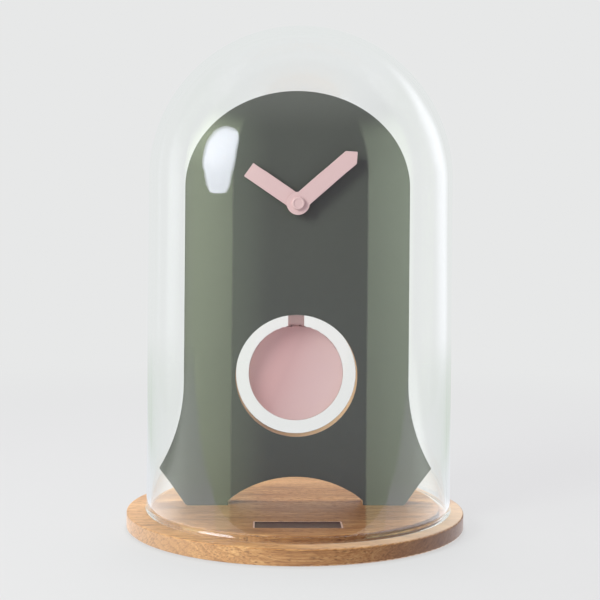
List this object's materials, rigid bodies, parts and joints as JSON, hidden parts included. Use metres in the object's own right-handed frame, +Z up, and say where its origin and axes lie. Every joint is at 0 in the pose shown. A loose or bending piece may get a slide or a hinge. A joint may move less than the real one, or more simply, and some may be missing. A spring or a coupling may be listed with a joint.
{
  "type": "pendulum table clock",
  "caption": "Table clock with a swinging pendulum in a round window of an upright board, on a round oak base under a lift-off glass dome.",
  "frame": {"origin": "middle of the round base, on the surface that the felt pads stand on", "axes": "+Z up along the dome's axis, -Y towards the reader of the hands, +X to the reader's right"},
  "size_m": [0.19, 0.19, 0.2819],
  "materials": {
    "oak": "oiled oak, open grain, satin",
    "dowel_beech": "plain turned beech",
    "felt": "dense dark felt",
    "plate_metal": "satin frame of a blank plate",
    "plate_field": "dark brown satin field",
    "board_fibre": "bare sanded fibreboard edge",
    "board_paint": "matt green-grey lacquer",
    "dome_glass": "clear blown glass, polished",
    "case_plastic": "fine-grained black moulding",
    "frame_plastic": "off-white moulding",
    "gear_plastic": "natural acetal",
    "knob_plastic": "black knurled moulding",
    "battery_jacket": "plain printed sleeve with no lettering",
    "spring_steel": "nickel-plated strip",
    "gear_steel": "turned steel",
    "zinc_steel": "zinc-plated screw",
    "soft_iron": "stamped soft iron",
    "magnet": "nickel-plated magnet",
    "enamelled_copper": "enamelled copper winding",
    "brass": "turned brass",
    "rubber": "black rubber washer",
    "circuit_laminate": "green laminate with a black chip drop",
    "bright_can": "drawn metal can",
    "hand_paint": "satin pink lacquer",
    "bob_paint": "satin pink lacquer"
  },
  "bodies": {
    "stand": {"oak_base": "oak", "felt_pad_1": "felt", "felt_pad_2": "felt", "felt_pad_3": "felt", "felt_pad_4": "felt", "name_plate": "plate_metal", "name_plate_insert": "plate_field", "board_core": "board_fibre", "board_front_facing": "board_paint", "board_back_facing": "board_paint", "board_screws": "zinc_steel", "foot_dowels": "dowel_beech", "movement_front_case": "case_plastic", "movement_rear_cover": "case_plastic", "battery": "battery_jacket", "battery_contact_positive": "spring_steel", "battery_contact_negative": "spring_steel", "rubber_gasket": "rubber", "threaded_bush": "brass", "brass_washer": "brass", "hex_nut": "brass", "train_bridge": "frame_plastic", "motor_stator": "soft_iron", "motor_core": "soft_iron", "motor_bobbin": "frame_plastic", "motor_coil": "enamelled_copper", "circuit_board": "circuit_laminate", "quartz_crystal": "bright_can", "drive_bobbin": "frame_plastic", "drive_coil": "enamelled_copper"},
    "minute_works": {"minute_arbor": "gear_steel", "minute_hand": "hand_paint", "hand_cap": "hand_paint", "setting_knob": "knob_plastic", "friction_spring": "spring_steel"},
    "minute_wheel": {"minute_wheel": "gear_plastic"},
    "hour_works": {"hour_wheel": "gear_plastic", "hour_hand": "hand_paint"},
    "rotor": {"rotor_pinion": "gear_plastic", "rotor_magnet": "magnet"},
    "fifth_wheel": {"fifth_wheel": "gear_plastic"},
    "fourth_wheel": {"fourth_wheel": "gear_plastic"},
    "third_wheel": {"third_wheel": "gear_plastic"},
    "centre_wheel": {"centre_wheel": "gear_plastic"},
    "pendulum": {"pendulum_arbor": "gear_steel", "drive_lever": "frame_plastic", "drive_magnet": "magnet", "pendulum_hanger": "frame_plastic", "pendulum_rod": "bob_paint", "pendulum_bob": "bob_paint"},
    "dome": {"glass_dome": "dome_glass"}
  },
  "joints": [
    {"name": "minute_turn", "type": "hinge", "parent": "stand", "child": "minute_works", "pos_m": [0, -0.0146, 0.1816], "axis": [0, 1, 0], "continuous": true},
    {"name": "minute_wheel_turn", "type": "hinge", "parent": "stand", "child": "minute_wheel", "pos_m": [0.0075, -0.0023, 0.1816], "axis": [0, 1, 0], "continuous": true},
    {"name": "hour_turn", "type": "hinge", "parent": "stand", "child": "hour_works", "pos_m": [0, -0.0127, 0.1816], "axis": [0, 1, 0], "continuous": true},
    {"name": "rotor_turn", "type": "hinge", "parent": "stand", "child": "rotor", "pos_m": [-0.01121, -0.0023, 0.19116], "axis": [0, 1, 0], "continuous": true},
    {"name": "fifth_wheel_turn", "type": "hinge", "parent": "stand", "child": "fifth_wheel", "pos_m": [-0.00595, -0.0023, 0.19307], "axis": [0, 1, 0], "continuous": true},
    {"name": "fourth_wheel_turn", "type": "hinge", "parent": "stand", "child": "fourth_wheel", "pos_m": [-0.00031, -0.0023, 0.19512], "axis": [0, 1, 0], "continuous": true},
    {"name": "third_wheel_turn", "type": "hinge", "parent": "stand", "child": "third_wheel", "pos_m": [0.0045, -0.0023, 0.18939], "axis": [0, 1, 0], "continuous": true},
    {"name": "centre_wheel_turn", "type": "hinge", "parent": "stand", "child": "centre_wheel", "pos_m": [0, -0.0023, 0.1816], "axis": [0, 1, 0], "continuous": true},
    {"name": "pendulum_swing", "type": "hinge", "parent": "stand", "child": "pendulum", "pos_m": [0, 0.007, 0.1481], "axis": [0, 1, 0], "range_deg": [-5, 5]},
    {"name": "dome_lift", "type": "slide", "parent": "stand", "child": "dome", "axis": [0, 0, 1], "range_m": [0, 0.26]}
  ],
  "couplings": [
    {"joint": "minute_wheel_turn", "follows": "minute_turn", "ratio": -0.33333},
    {"joint": "hour_turn", "follows": "minute_turn", "ratio": 0.083333},
    {"joint": "fifth_wheel_turn", "follows": "rotor_turn", "ratio": -0.16667},
    {"joint": "fourth_wheel_turn", "follows": "rotor_turn", "ratio": 0.033333},
    {"joint": "third_wheel_turn", "follows": "rotor_turn", "ratio": -0.0044444},
    {"joint": "centre_wheel_turn", "follows": "rotor_turn", "ratio": 0.00055556}
  ]
}
